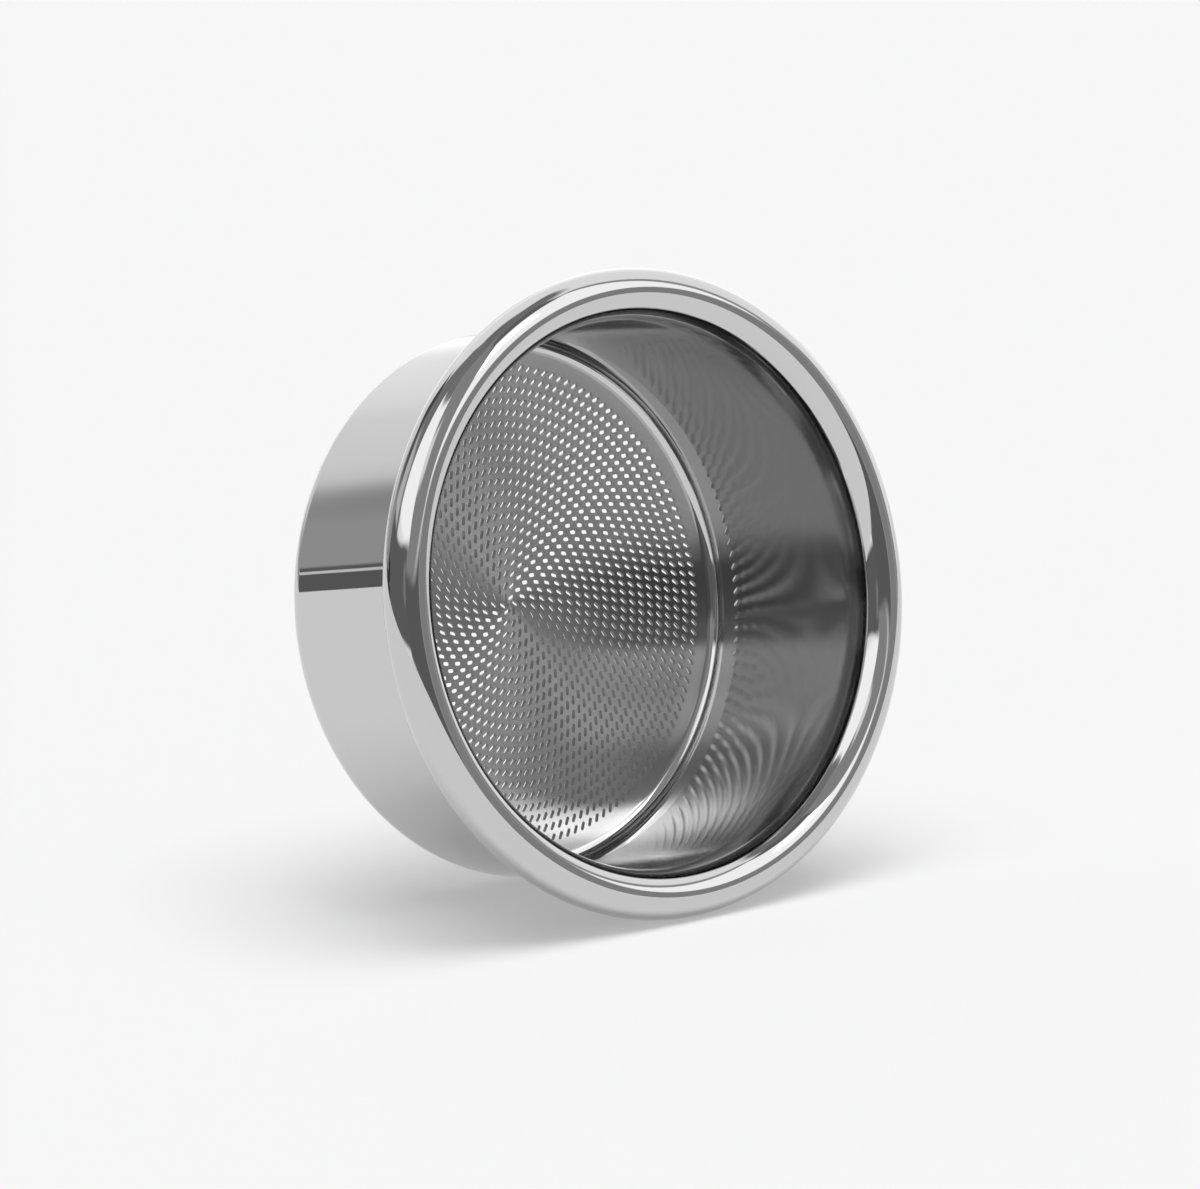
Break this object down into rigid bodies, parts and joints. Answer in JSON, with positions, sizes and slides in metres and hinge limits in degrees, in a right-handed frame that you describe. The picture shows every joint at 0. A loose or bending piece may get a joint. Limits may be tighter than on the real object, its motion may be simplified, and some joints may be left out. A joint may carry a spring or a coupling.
{
  "type": "espresso filter basket",
  "caption": "Round stainless filter basket: a straight-walled cup with a flat base of fine slanting slots in rings, and a rolled rim by which it hangs in its holder.",
  "frame": {"origin": "centre of the underside of the flat base", "axes": "+Z along the cup's axis, from the base to the mouth; the rings of slots all begin on one ray in the XY plane, 14 degrees clockwise from +X seen from above"},
  "size_m": [0.07, 0.07, 0.0277],
  "materials": {
    "stainless_steel": "mirror polished on the outside and over the rolled rim, satin inside the cup and on the slotted base"
  },
  "bodies": {
    "root": {"filter_basket": "stainless_steel"}
  },
  "joints": []
}
